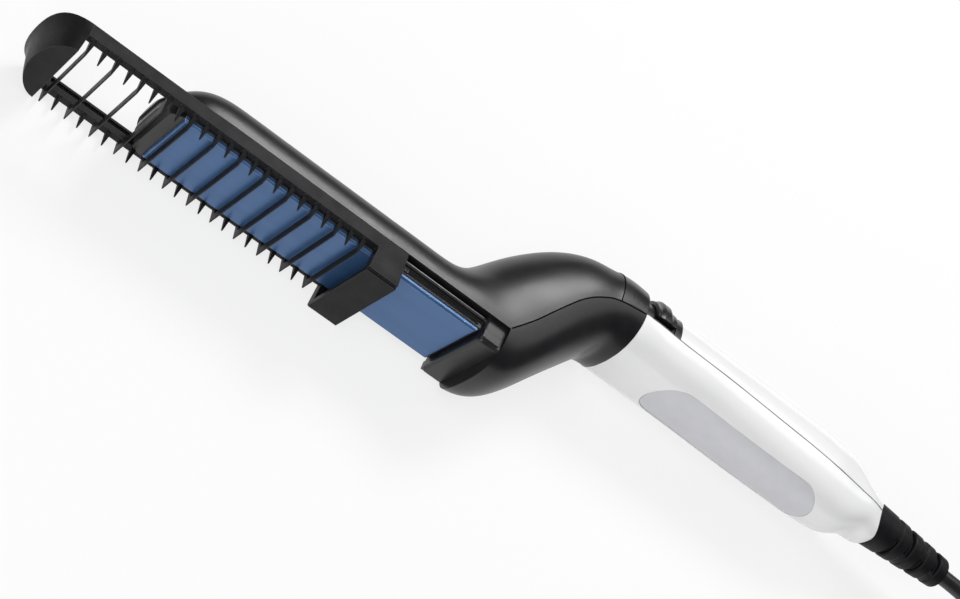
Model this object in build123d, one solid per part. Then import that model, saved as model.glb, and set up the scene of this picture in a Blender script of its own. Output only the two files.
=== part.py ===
from build123d import *
import math
import os

# Hair-straightening comb with a heated plate, lying on its side. All sizes in mm.
# Working frame: x runs from the comb's tip to the cord, y from the teeth to the back, z across the
# width with 0 at the middle. Every piece is moved to the part's frame when it is kept.

# ---- comb attachment ----
tooth_pitch = 4.0
tooth_count = 23
tooth_thickness = 1.2
tooth_draft = 17.0
tip_y = -0.55
tip_half_width = 14.9
tooth_root = 1.0
root_inset = 0.2
fin_depth = 2.5
spike_tip_width = 0.6
comb_width = 33.2
rail_low_y = 4.4
rail_thickness = 2.9
rail_start_x = -2.0
block_gap = 4.4
block_length = 8.6
block_drop = 3.6
block_lean = 1.0
block_floor = 1.6
block_rebate = 0.8
hood_reach = 10.4
hood_belly_reach = 9.0
hood_lip_reach = 7.2
hood_wall = 1.6
hood_floor = 1.8

# ---- head: tray, plate and heater ----
parting_y = 8.2
slide_gap = 0.2
ledge_thickness = 1.2
tray_half_width = 13.4
tray_wall = 1.6
tray_floor = 1.2
tray_nose_radius = 8.0
nose_reach = 7.0
nose_step_y = 5.2
nose_step_length = 5.0
nose_lip_y = 3.1
comb_travel = 28.4
plate_gap = 0.6
plate_half_width = 13.1
plate_face_y = 2.8
plate_thickness = 1.4
plate_bevel = 0.6
plate_leg_height = 5.0
plate_leg_thickness = 1.2
plate_leg_half_gap = 7.0
plate_leg_setback = 8.0
plate_leg_overhang = 1.7
stop_length = 7.2
stop_half_width = 15.0
stop_low_y = 0.0
pip_height = 0.8
ridge_lead = 2.4
ridge_height = 0.8
ridge_reach = 1.2
ridge_y = 6.8
slot_depth = 0.5
slot_width = 1.1
slot_end_gap = 0.6
heater_length = 80.0
heater_thickness = 2.8
clip_thickness = 0.6
clip_length = 70.0
mica_length = 82.0
mica_width = 21.0
mica_thickness = 0.4
fuse_offset = 19.9
fuse_radius = 1.4
fuse_length = 11.0

# ---- neck and handle ----
head_rise = 11.8
nose_length = 22.0
shell_wall = 1.8
seam_overlap = 1.0
neck_length = 39.4
bezel_reach = 9.5
recess_length = 11.2
bezel_lip = 2.4
grip_length = 110.4
handle_seam_y = 41.8
elbow_low_y = -4.8
handle_top_y = 56.4

# ---- switch ----
deck_top_y = 52.2
deck_half_width = 14.8
deck_fullness = 2.3
deck_wall = 1.2
knob_length = 7.4
knob_thickness = 1.2
knob_gap = 0.3
knob_ridge = 1.7
knob_side_ridge = 0.2
knob_ridge_length = 2.4
knob_low_y = 44.0
knob_travel = 3.0
switch_length = 13.0
switch_width = 6.8
switch_height = 5.6
lever_width = 2.4
lever_slot_width = 4.0

# ---- circuit board and its parts ----
board_setback = 2.6
board_length = 56.4
board_half_width = 9.5
board_top_y = 40.6
board_thickness = 1.6

# ---- screws ----
screw_radius = 1.5
screw_head_radius = 2.6
screw_head_height = 1.8
screw_gap = 0.1
boss_wall = 1.9
tray_screw_margin = 3.6
handle_screw_y = 34.0
handle_screw_length = 16.0
front_screw_setback = 24.0
rear_screw_setback = 37.4
clamp_setback = 19.4
clamp_length = 6.0
clamp_height = 3.4
clamp_screw_radius = 1.0
clamp_screw_spacing = 13.0
clamp_margin = 2.2

# ---- rating label (bare) ----
label_setback = 17.5
label_end_setback = 25.4
label_half_width = 10.0
label_thickness = 0.25
label_recess = 0.35
label_gap = 0.15

# ---- cord, strain relief and plug ----
cord_y = 41.6
cord_radius = 2.75
relief_start_radius = 7.5
relief_end_radius = 5.3
relief_collar_length = 6.2
relief_rib_count = 4
relief_groove = 1.9
relief_groove_depth = 1.6
relief_web_width = 5.6
relief_length = 31.0
relief_root_length = 6.0
mouth_wall = 6.0
mouth_bow = 12.0
relief_root_radius = 4.8
relief_lip = 1.2
tail_reach = 5.5
exit_run = 18.0
conductor_radius = 1.0
coil_centre = (260.0, 15.5)
coil_columns = 4
coil_layers = 2
coil_mean_radius = 12 * cord_radius
tie_thickness = 0.8
tie_width = 9.0
tie_angle = 180.0
plug_length = 36.0
plug_width = 35.0
plug_height = 13.7
pin_radius = 2.0
pin_length = 19.0
pin_spacing = 18.6

# The cord's route down to the coil and from the coil to the plug, in the part's frame.
fall_route = [(200.4, 10.8, 13.4), (214.5, -1.3, 8.2), (230.3, -13.2, 4.2), (245.9, -23.3, 3.55)]
plug_route = [(298.9, 3.6, 9.05), (300.9, 17.2, 9.6), (297.9, 30.7, 12.6), (289.2, 41.4, 16.4),
              (276.5, 47.3, 18.65), (262.5, 47.3, 18.65)]

# ---- values that follow from the ones above ----
half_width = comb_width / 2
rail_inner = half_width - rail_thickness
rail_top_y = parting_y - slide_gap
block_start_x = (tooth_count - 1) * tooth_pitch + block_gap
block_end_x = block_start_x + block_length
hood_tip_x = rail_start_x - hood_reach
head_top_y = parting_y + head_rise
stop_start_x = block_end_x + block_lean + comb_travel
stop_end_x = stop_start_x + stop_length
plate_end_x = stop_start_x - plate_gap
leg_length = heater_length + 2 * plate_leg_overhang
plate_start_x = plate_end_x - max(leg_length, mica_length) - 2 * plate_leg_setback
nose_x = plate_start_x - nose_reach
nose_step_x = plate_start_x - nose_step_length
nose_end_x = nose_x + nose_length
ridge_start_x = plate_start_x - ridge_lead
handle_start_x = stop_end_x + neck_length
bezel_start_x = handle_start_x - bezel_reach
recess_end_x = handle_start_x + recess_length
bezel_end_x = recess_end_x + bezel_lip
handle_end_x = handle_start_x + grip_length
relief_end_x = handle_end_x + relief_length
tray_low_y = plate_face_y + plate_thickness
tray_inner = tray_half_width - tray_wall
leg_outer = plate_leg_half_gap + plate_leg_thickness
leg_top_y = tray_low_y + plate_leg_height
plate_middle_x = (plate_start_x + plate_end_x) / 2
leg_start_x = plate_middle_x - leg_length / 2
leg_end_x = plate_middle_x + leg_length / 2
mica_start_x = plate_middle_x - mica_length / 2
ledge_opening_x = min(leg_start_x, mica_start_x) - 1
fuse_x = plate_middle_x + fuse_offset
heater_top_y = tray_low_y + heater_thickness
board_start_x = handle_start_x + board_setback
board_end_x = board_start_x + board_length
board_low_y = board_top_y - board_thickness
front_screw_x = handle_start_x + front_screw_setback
rear_screw_x = handle_end_x - rear_screw_setback
clamp_x = handle_end_x - clamp_setback
tail_start_x = clamp_x - tail_reach
label_start_x = handle_start_x + label_setback
label_end_x = handle_end_x - label_end_setback
knob_end_x = recess_end_x - 0.4
knob_middle_x = knob_end_x - knob_length / 2
switch_x = knob_middle_x - knob_travel / 2
lever_top_y = deck_top_y + knob_gap + knob_thickness / 2
tray_screws = (plate_start_x + tray_screw_margin, plate_end_x - tray_screw_margin)
handle_screws = (front_screw_x, rear_screw_x)
clamp_holes = (clamp_screw_spacing / 2, -clamp_screw_spacing / 2)
clamp_half_width = clamp_screw_spacing / 2 + clamp_margin
origin = Vector((hood_tip_x + relief_end_x) / 2, (elbow_low_y + handle_top_y) / 2, -half_width)
exit_point = (relief_end_x - origin.X, cord_y - origin.Y, -origin.Z)
exit_route = [exit_point, (exit_point[0] + exit_run, *exit_point[1:])] + fall_route



def neck_x(share):
    """The x at a share of the neck's length, 0 at the stop block and 1 at the handle."""
    return stop_end_x + share * neck_length


def grip_x(share):
    """The x at a share of the handle's length, 0 at the neck and 1 at the strain relief."""
    return handle_start_x + share * grip_length


# The side seam between the upper and lower shells, from the head to the handle, as (x, y).
seam = [(stop_end_x, parting_y), (neck_x(0.155), 15.6), (neck_x(0.315), 24.6), (neck_x(0.464), 32.3),
        (neck_x(0.614), 37.2), (bezel_start_x, 39.9), (neck_x(0.881), 41.2), (handle_start_x, handle_seam_y)]

# Half sections from the seam to the crown: (seam x, seam y, crown x, crown y, half width, fullness power).
nose_stations = [
    (nose_x, parting_y, nose_x, parting_y + 1.3, 6.6, 2.2),
    (nose_x + 0.8, parting_y, nose_x + 0.8, parting_y + 2.2, 9.1, 2.25),
    (nose_x + 2.6, parting_y, nose_x + 2.6, parting_y + 4.1, 12.3, 2.3),
    (nose_x + 5.4, parting_y, nose_x + 5.4, parting_y + 7.0, 14.6, 2.35),
    (nose_x + 9.0, parting_y, nose_x + 9.0, parting_y + 9.6, 15.9, 2.4),
    (nose_x + 13.0, parting_y, nose_x + 13.0, parting_y + 11.1, 16.4, 2.45),
    (nose_x + 17.0, parting_y, nose_x + 17.0, parting_y + 11.65, 16.55, 2.5),
]
head_stations = [(x, parting_y, x, head_top_y, half_width, 2.5)
                 for x in (nose_end_x, nose_end_x + 16.6, neck_x(-1.54), neck_x(-1.11), neck_x(-0.75))]
neck_stations = [
    (neck_x(-0.497), parting_y, neck_x(-0.548), head_top_y + 0.6, half_width, 2.47),
    (neck_x(-0.244), parting_y, neck_x(-0.409), 23.6, half_width, 2.45),
    (*seam[0], neck_x(-0.284), 28.8, 16.58, 2.4),
    (*seam[1], neck_x(-0.152), 35.0, 16.54, 2.35),
    (*seam[2], neck_x(0.041), 42.8, 16.48, 2.3),
    (*seam[3], neck_x(0.274), 49.8, 16.38, 2.3),
    (*seam[4], neck_x(0.518), 53.8, 16.22, 2.3),
    (*seam[5], bezel_start_x - 0.5, 55.4, 16.05, 2.3),
]
bezel_stations = [
    (*seam[5], bezel_start_x - 0.5, 55.4, 16.05, 2.3),
    (*seam[7], handle_start_x, 55.5, 15.8, 2.3),
    (grip_x(0.0634), handle_seam_y, grip_x(0.0634), 54.4, 15.7, 2.3),
    (bezel_end_x, handle_seam_y, bezel_end_x, 54.0, 15.65, 2.3),
]
belly_stations = [
    (*seam[0], stop_end_x, elbow_low_y, half_width, 3.0),
    (neck_x(0.091), 12.2, neck_x(0.168), -3.4, 16.58, 2.9),
    (neck_x(0.198), 18.0, neck_x(0.33), 2.2, 16.54, 2.75),
    (*seam[2], neck_x(0.503), 11.4, 16.48, 2.6),
    (*seam[3], neck_x(0.68), 20.6, 16.38, 2.45),
    (*seam[4], neck_x(0.787), 26.0, 16.22, 2.4),
    (neck_x(0.794), 40.4, neck_x(0.873), 28.8, 16.0, 2.3),
    (*seam[7], handle_start_x, 29.6, 15.8, 2.3),
]
handle_top_stations = [
    (bezel_end_x, handle_seam_y, bezel_end_x, 54.0, 15.65, 2.3),
    (grip_x(0.2446), handle_seam_y, grip_x(0.2446), 54.2, 15.45, 2.3),
    (grip_x(0.3714), handle_seam_y, grip_x(0.3714), 54.8, 15.15, 2.3),
    (grip_x(0.4982), handle_seam_y, grip_x(0.4982), 55.4, 14.5, 2.3),
    (grip_x(0.625), handle_seam_y, grip_x(0.625), 55.8, 13.9, 2.3),
    (grip_x(0.7246), handle_seam_y, grip_x(0.7246), 56.2, 13.1, 2.3),
    (grip_x(0.8062), handle_seam_y, grip_x(0.8062), handle_top_y, 12.0, 2.3),
    (grip_x(0.8605), handle_seam_y, grip_x(0.8605), 55.2, 11.1, 2.3),
    (grip_x(0.8967), handle_seam_y, grip_x(0.8967), 52.4, 10.6, 2.3),
    (grip_x(0.942), handle_seam_y, grip_x(0.942), 49.4, 9.6, 2.3),
    (handle_end_x, handle_seam_y, handle_end_x, 48.6, 7.9, 2.15),
]
handle_low_stations = [
    (*seam[7], handle_start_x, 29.6, 15.8, 2.3),
    (grip_x(0.1178), handle_seam_y, grip_x(0.1178), 29.8, 15.65, 2.3),
    (grip_x(0.2446), handle_seam_y, grip_x(0.2446), 29.9, 15.45, 2.3),
    (grip_x(0.3714), handle_seam_y, grip_x(0.3714), 29.6, 15.15, 2.3),
    (grip_x(0.4982), handle_seam_y, grip_x(0.4982), 29.0, 14.5, 2.3),
    (grip_x(0.625), handle_seam_y, grip_x(0.625), 28.6, 13.9, 2.3),
    (grip_x(0.7246), handle_seam_y, grip_x(0.7246), 28.3, 13.1, 2.3),
    (grip_x(0.8062), handle_seam_y, grip_x(0.8062), 28.4, 12.0, 2.3),
    (grip_x(0.8605), handle_seam_y, grip_x(0.8605), 29.2, 11.1, 2.3),
    (grip_x(0.8967), handle_seam_y, grip_x(0.8967), 31.2, 10.6, 2.3),
    (grip_x(0.942), handle_seam_y, grip_x(0.942), 33.4, 9.6, 2.3),
    (handle_end_x, handle_seam_y, handle_end_x, 34.6, 7.9, 2.15),
]

parts = {}


def keep(name, shape):
    """Move a piece to the part's frame and keep it under its node's name."""
    parts[name] = Pos(-origin.X, -origin.Y, -origin.Z) * shape


# ---- plain shapes ----
def block(x0, x1, y0, y1, z0, z1):
    """A box between two corners."""
    centre = ((x0 + x1) / 2, (y0 + y1) / 2, (z0 + z1) / 2)
    return Pos(*centre) * Box(abs(x1 - x0), abs(y1 - y0), abs(z1 - z0))


def rod(start, end, radius):
    """A round bar between two points."""
    axis = Vector(*end) - Vector(*start)
    return Solid.make_cylinder(radius, axis.length, Plane(origin=start, z_dir=axis))


def side_prism(points, half_depth):
    """A side outline of (x, y) points made a solid across the width."""
    outline = make_face(Polyline(points, close=True))
    return extrude(outline, amount=half_depth, both=True)


def screw(start, end, radius, head):
    """A self-tapping pan-head screw whose head lies at the start."""
    axis = (Vector(*end) - Vector(*start)).normalized()
    neck = Vector(*start) + axis * screw_head_height
    body = rod(start, tuple(neck), head) + rod(tuple(neck), end, radius)
    drive = Rectangle(head * 1.2, 0.7) + Rectangle(0.7, head * 1.2)
    return body - extrude(Plane(origin=start, z_dir=axis) * drive, amount=0.9)


# ---- half sections and lofts of the shells ----
def handle_length(power):
    """How far a quarter curve's handles reach for a superellipse of a power; 2 is an ellipse."""
    return (8 * 2 ** (-1 / power) - 4) / 3


def half_section(station, inset=0.0, overlap=0.0):
    """The face between the seam and the crown at one station, reaching past the seam by an overlap."""
    seam_x, seam_y, crown_x, crown_y, across, power = station
    up = Vector(crown_x - seam_x, crown_y - seam_y)
    base = Vector(seam_x, seam_y) - up.normalized() * overlap
    a = across - inset
    b = up.length + overlap - inset
    k = handle_length(power)
    near = Bezier((a, 0), (a, k * b), (k * a, b), (0, b))
    far = Bezier((0, b), (-k * a, b), (-a, k * b), (-a, 0))
    plane = Plane(origin=base, x_dir=(0, 0, -1), z_dir=(up.Y, -up.X, 0))
    return plane * make_face(Curve() + near + far + Line((-a, 0), (a, 0)))


def half_loft(stations, inset=0.0, overlap=0.0):
    """A solid through the half sections, smaller all round by the inset."""
    return loft([half_section(station, inset, overlap) for station in stations])


def above_seam():
    """Everything on the back's side of the neck's side seam."""
    curve = Spline([*seam[:6], seam[7]], tangents=[(1, 1.15), (1, 0)])
    sky_y = handle_top_y + 2 * half_width
    border = Polyline([seam[7], (handle_end_x, handle_seam_y), (handle_end_x, sky_y), (0, sky_y),
                       (0, parting_y), seam[0]])
    return extrude(make_face(Curve() + curve + border), amount=2 * half_width, both=True)


# ---- comb attachment: rails, hood, end block, fins and spikes in one moulding ----
def rail_groove(start, end, side):
    """The channel in a rail's inner face that runs on the tray's ridge."""
    half_height = ridge_height / 2 + slide_gap
    bottom = side * (tray_half_width + ridge_reach + slide_gap)
    return block(start, end, ridge_y - half_height, ridge_y + half_height, side * (rail_inner - 1), bottom)


def comb_rail(side):
    bar = block(rail_start_x, block_end_x, rail_low_y, rail_top_y, side * rail_inner, side * half_width)
    return bar - rail_groove(rail_start_x + hood_wall, block_end_x + 1, side)


def tapered(face, x):
    """A tooth's outline made a plate at x that thins towards both faces."""
    placed = Plane(origin=(x, 0, 0), x_dir=(0, 0, -1), z_dir=(1, 0, 0)) * face
    front = extrude(placed, amount=tooth_thickness / 2, dir=(1, 0, 0), taper=tooth_draft)
    return front + mirror(front, Plane(origin=(x, 0, 0), z_dir=(1, 0, 0)))


def fin_outline():
    """A long fin: an arm down from each rail and a bar across under the plate."""
    inner = plate_half_width + 2 * slide_gap
    top = tip_y + fin_depth
    root = rail_low_y + tooth_root
    right = [(inner, top), (rail_inner + root_inset, root), (half_width - root_inset, root),
             (tip_half_width, tip_y)]
    left = [(-z, y) for z, y in reversed(right)]
    return make_face(Polyline(right + left, close=True))


def spike_outline(side):
    """A short spike that stands on one rail."""
    near = side * (tip_half_width - spike_tip_width)
    far = side * tip_half_width
    root = rail_low_y + tooth_root
    return make_face(Polyline([(side * (half_width - root_inset), root), (far, tip_y), (near, tip_y),
                               (side * (rail_inner + root_inset), root)], close=True))


def hood_section(y, reach, across, power):
    """A level section of the rounded cap at the comb's tip."""
    x = rail_start_x
    k = handle_length(power)
    near = Bezier((x, y, across), (x - k * reach, y, across), (x - reach, y, k * across), (x - reach, y, 0))
    far = Bezier((x - reach, y, 0), (x - reach, y, -k * across), (x - k * reach, y, -across), (x, y, -across))
    return make_face(Curve() + near + far + Line((x, y, -across), (x, y, across)))


def comb_hood():
    """The cap that covers the head's nose when the comb is home."""
    outside = loft([hood_section(tip_y, hood_lip_reach, tip_half_width, 1.95),
                    hood_section(1.6, (hood_lip_reach + hood_belly_reach) / 2, half_width - 0.8, 1.95),
                    hood_section(rail_low_y, hood_belly_reach, half_width, 1.95),
                    hood_section(rail_top_y, hood_reach, half_width, 2.6)])
    belly = (rail_low_y, hood_belly_reach - hood_wall, rail_inner, 2.0)
    brim = hood_section(rail_top_y, hood_reach - hood_wall, rail_inner, 2.5)
    pocket = loft([hood_section(tip_y + hood_floor, hood_lip_reach - hood_wall, rail_inner - 1, 2.0),
                   hood_section(*belly), brim])
    pocket += extrude(brim, amount=1, dir=(0, 1, 0))
    return outside - pocket


def comb_end_block():
    """The bridge over the plate at the comb's handle end."""
    start = block_start_x - 2
    end = block_end_x + block_lean + 2
    outline = [(block_start_x, rail_top_y), (block_end_x, rail_top_y), (block_end_x + block_lean, -block_drop),
               (block_start_x - 0.4, -block_drop)]
    bridge = side_prism(outline, half_width)
    bridge -= block(start, end, block_floor - block_drop, rail_top_y + 1, -rail_inner, rail_inner)
    for side in (1, -1):
        bridge -= block(start, end, -block_drop - 1, -block_drop + block_rebate,
                        side * (half_width - block_rebate), side * (half_width + 1))
        bridge -= rail_groove(start, end, side)
    return bridge


def comb_attachment():
    comb = comb_rail(1) + comb_rail(-1) + comb_hood() + comb_end_block()
    for tooth in range(tooth_count):
        x = tooth * tooth_pitch
        if tooth % 2 == 0:
            comb += tapered(fin_outline(), x)
        else:
            comb += [tapered(spike_outline(side), x) for side in (1, -1)]
    return comb


# ---- head: tray, plate and heater ----
def head_tray():
    """The frame under the plate, with the comb's guide ridges, the nose and the stop block."""
    start = nose_x + 0.6
    tray = side_prism([(start, parting_y), (start, nose_step_y), (nose_step_x, nose_step_y),
                       (nose_step_x + 1.3, nose_lip_y), (plate_start_x - 0.1, nose_lip_y),
                       (plate_start_x - 0.1, tray_low_y), (stop_end_x, tray_low_y), (stop_end_x, parting_y)],
                      tray_half_width)
    plan = block(start, stop_end_x, stop_low_y, parting_y, -tray_half_width, tray_half_width)
    tray &= fillet(plan.edges().filter_by(Axis.Y).group_by(Axis.X)[0], tray_nose_radius)
    stop = block(stop_start_x, stop_end_x, stop_low_y, parting_y, -stop_half_width, stop_half_width)
    stop = fillet(stop.edges().filter_by(Axis.Y).group_by(Axis.X)[0], 1.5)
    stop = fillet(stop.faces().sort_by(Axis.Y)[0].edges().filter_by(Axis.X), 1.0)
    tray += stop
    floor_y = tray_low_y + tray_floor
    tray -= block(leg_start_x - 1, stop_start_x - 1, floor_y, parting_y + 1, -tray_inner, tray_inner)
    window_half = leg_outer + slide_gap
    tray -= block(leg_start_x - 1, leg_end_x + 1, tray_low_y - 1, parting_y, -window_half, window_half)
    tray += rod((tray_screws[1], tray_low_y, 0), (tray_screws[1], parting_y, 0), screw_head_radius + 1.0)
    for x in tray_screws:
        tray -= rod((x, tray_low_y - 1, 0), (x, tray_low_y + 0.2 + screw_head_height, 0),
                    screw_head_radius + screw_gap)
        tray -= rod((x, tray_low_y, 0), (x, parting_y + 1, 0), screw_radius + screw_gap)
    for side in (1, -1):
        tray += block(ridge_start_x, stop_start_x + 1, ridge_y - ridge_height / 2, ridge_y + ridge_height / 2,
                      side * (tray_half_width - 1), side * (tray_half_width + ridge_reach))
        tray += block(stop_start_x + 0.4, stop_start_x + 6.2, stop_low_y + 1.1, stop_low_y + 3.6,
                      side * (stop_half_width - 1), side * (stop_half_width + pip_height))
        slot_length = plate_end_x - slot_end_gap - leg_start_x
        slot = SlotOverall(slot_length, slot_width)
        middle = (leg_start_x + slot_length / 2, tray_low_y + 0.3 + slot_width / 2,
                  side * (tray_half_width - slot_depth))
        tray -= extrude(Pos(*middle) * slot, amount=side * 2)
    return tray


def heating_plate():
    """The coated aluminium extrusion: a bevelled face with two legs that hold the heater."""
    face = block(plate_start_x, plate_end_x, plate_face_y, tray_low_y, -plate_half_width, plate_half_width)
    plate = chamfer(face.faces().sort_by(Axis.Y)[0].edges(), plate_bevel)
    for side in (1, -1):
        plate += block(leg_start_x, leg_end_x, tray_low_y - 0.2, leg_top_y,
                       side * plate_leg_half_gap, side * leg_outer)
    return plate


def heater_clip():
    """The spring that presses the heater against the plate, with five raised fingers."""
    half = plate_leg_half_gap - slide_gap
    clip = block(plate_middle_x - clip_length / 2, plate_middle_x + clip_length / 2, heater_top_y,
                 heater_top_y + clip_thickness, -half, half)
    for finger in range(-2, 3):
        x = plate_middle_x + finger * clip_length / 6
        clip += block(x - 3, x + 3, heater_top_y, leg_top_y, -1, 1)
    return clip


def upper_shell():
    """The back of the head and the upper half of the neck, in one moulding."""
    outside = half_loft(nose_stations + head_stations + neck_stations, 0.0, seam_overlap) & above_seam()
    moved_nose = [(x + shell_wall, y, crown_x + shell_wall, crown_y, *rest)
                  for x, y, crown_x, crown_y, *rest in nose_stations[:-1]]
    inside = half_loft(moved_nose + head_stations + neck_stations, shell_wall, seam_overlap)
    ledge_top_y = parting_y + ledge_thickness
    ledge = outside & block(nose_x, stop_start_x, parting_y, ledge_top_y, -half_width, half_width)
    ledge -= block(ledge_opening_x, stop_start_x + 2, parting_y - 1, parting_y + 3, -tray_inner, tray_inner)
    bosses = [rod((x, parting_y, 0), (x, parting_y + 30, 0), screw_radius + boss_wall) & outside
              for x in tray_screws]
    shell = outside - inside + ledge + bosses
    for x in tray_screws:
        shell -= rod((x, parting_y - 1, 0), (x, parting_y + 5.5, 0), screw_radius)
    return shell


# ---- neck, handle and switch ----
def neck_lower_shell():
    """The belly of the neck, closed in front behind the stop block."""
    outside = half_loft(belly_stations, 0.0, seam_overlap) - above_seam()
    inside = half_loft(belly_stations, shell_wall, seam_overlap)
    front = block(0, stop_end_x + shell_wall, -50, parting_y - shell_wall, -40, 40)
    return outside - (inside - front)


def saddle(start, end, lift=0.0, overlap=0.0):
    """A straight bar with the deck's section between two places, raised by a lift."""
    station = (start, handle_seam_y, start, deck_top_y + lift, deck_half_width + lift, deck_fullness)
    return extrude(half_section(station, 0.0, overlap), amount=end - start, dir=(1, 0, 0))


def switch_bezel():
    """The black saddle that closes the neck and carries the switch knob."""
    outside = half_loft(bezel_stations, 0.0, seam_overlap) & above_seam()
    body = outside - half_loft(bezel_stations, shell_wall + 1, seam_overlap)
    body -= block(handle_start_x, recess_end_x, 30, 80, -40, 40)
    body += saddle(handle_start_x, recess_end_x)
    body -= saddle(handle_start_x, recess_end_x, -deck_wall, seam_overlap)
    half_slot = knob_travel / 2 + lever_width / 2 + slide_gap
    return body - block(switch_x - half_slot, switch_x + half_slot, board_top_y + switch_height, 70,
                        -lever_slot_width / 2, lever_slot_width / 2)


def switch_knob():
    """The ridged slider that straddles the deck, with the socket for the switch's lever."""
    start = knob_end_x - knob_length
    lift = knob_gap + knob_thickness
    foot = (deck_top_y + lift, deck_half_width + lift)
    crest = (foot[0] + knob_ridge, foot[1] + knob_side_ridge)
    half = knob_ridge_length / 2
    rings = [(-half - 1, foot), (-half, crest), (half, crest), (half + 1, foot)]
    ridge = loft([half_section((knob_middle_x + dx, handle_seam_y, knob_middle_x + dx, *top, deck_fullness))
                  for dx, top in rings], ruled=True)
    knob = saddle(start, knob_end_x, lift) + ridge
    knob -= saddle(start - 1, knob_end_x + 1, knob_gap)
    knob &= block(start, knob_end_x, knob_low_y, 80, -40, 40)
    fit = lever_width / 2 + 0.05
    return knob - block(knob_middle_x - fit, knob_middle_x + fit, 40, lever_top_y + 0.05, -fit, fit)


def slide_switch():
    half = knob_travel / 2 + lever_width / 2 + slide_gap
    body = block(switch_x - switch_length / 2, switch_x + switch_length / 2, board_top_y,
                 board_top_y + switch_height, -switch_width / 2, switch_width / 2)
    return body - block(switch_x - half, switch_x + half, board_top_y + switch_height - 2.5,
                        board_top_y + switch_height + 1, -lever_width / 2 - 0.3, lever_width / 2 + 0.3)


def relief_root(gap=0.0):
    """The strain relief's root inside the handle, with the lip that stops it pulling out."""
    start = handle_end_x - relief_root_length
    lip = start + relief_lip
    root = rod((start, cord_y, 0), (handle_end_x + 0.5, cord_y, 0), relief_root_radius + gap)
    lip_radius = relief_root_radius + relief_lip + gap
    return root + rod((lip - gap, cord_y, 0), (lip + relief_lip + gap, cord_y, 0), lip_radius)


before_mouth = block(0, handle_end_x - mouth_wall, 0, 90, -40, 40)
bow_x = handle_end_x - mouth_bow
before_end = block(0, bow_x, 0, 90, -40, 40) + rod((bow_x, 0, 0), (bow_x, 90, 0), mouth_bow)


def handle_lower_shell():
    outside = half_loft(handle_low_stations) & before_end
    shell = outside - (half_loft(handle_low_stations, shell_wall, seam_overlap) & before_mouth)
    for x in (board_start_x + 5, board_end_x - 6):
        shell += block(x - 1, x + 1, 0, board_low_y, -board_half_width, board_half_width) & outside
    for x, top in zip(handle_screws, (board_low_y, handle_seam_y - 0.3)):
        shell += rod((x, 20, 0), (x, top, 0), screw_head_radius + boss_wall) & outside
    half = clamp_length / 2
    shell += block(clamp_x - half, clamp_x + half, 0, cord_y, -clamp_half_width, clamp_half_width) & outside
    for x in handle_screws:
        shell -= rod((x, 20, 0), (x, 60, 0), screw_radius + screw_gap)
        shell -= rod((x, 20, 0), (x, handle_screw_y + screw_head_height, 0), screw_head_radius + screw_gap)
    for z in clamp_holes:
        shell -= rod((clamp_x, cord_y - 6, z), (clamp_x, 60, z), clamp_screw_radius)
    shell -= rod((clamp_x - half - 1, cord_y, 0), (clamp_x + half + 1, cord_y, 0), cord_radius)
    return shell - relief_root() - label_skin(label_recess, 0.0)


def handle_upper_shell():
    outside = half_loft(handle_top_stations) & before_end
    shell = outside - (half_loft(handle_top_stations, shell_wall, seam_overlap) & before_mouth)
    for x, low in zip(handle_screws, (board_top_y, handle_seam_y - 0.3)):
        post = rod((x, handle_seam_y, 0), (x, 80, 0), screw_radius + boss_wall) & outside
        shell += post + rod((x, low, 0), (x, handle_seam_y, 0), screw_radius + boss_wall)
    for x in handle_screws:
        shell -= rod((x, 30, 0), (x, handle_screw_y + handle_screw_length + 0.5, 0), screw_radius)
    return shell - relief_root()


def label_skin(depth, margin):
    """The part of the lower shell's surface inside the label's outline, down to a depth."""
    length = label_end_x - label_start_x
    outline = SlotOverall(length - 2 * margin, 2 * (label_half_width - margin))
    middle = (label_start_x + label_end_x) / 2
    plane = Plane(origin=(middle, 20, 0), x_dir=(1, 0, 0), z_dir=(0, 1, 0))
    prism = extrude(plane * outline, amount=16)
    return (prism & half_loft(handle_low_stations)) - half_loft(handle_low_stations, depth, seam_overlap)


def rating_label():
    outer = label_recess - label_thickness
    return label_skin(label_recess, label_gap) & half_loft(handle_low_stations, outer, seam_overlap)


def cord_clamp():
    half = clamp_length / 2
    clamp = block(clamp_x - half, clamp_x + half, cord_y + 0.4, cord_y + cord_radius + clamp_height / 2,
                  -clamp_half_width, clamp_half_width)
    clamp -= rod((clamp_x - half - 1, cord_y, 0), (clamp_x + half + 1, cord_y, 0), cord_radius)
    for z in clamp_holes:
        clamp -= rod((clamp_x, cord_y, z), (clamp_x, cord_y + 9, z), clamp_screw_radius + screw_gap)
    return clamp


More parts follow.
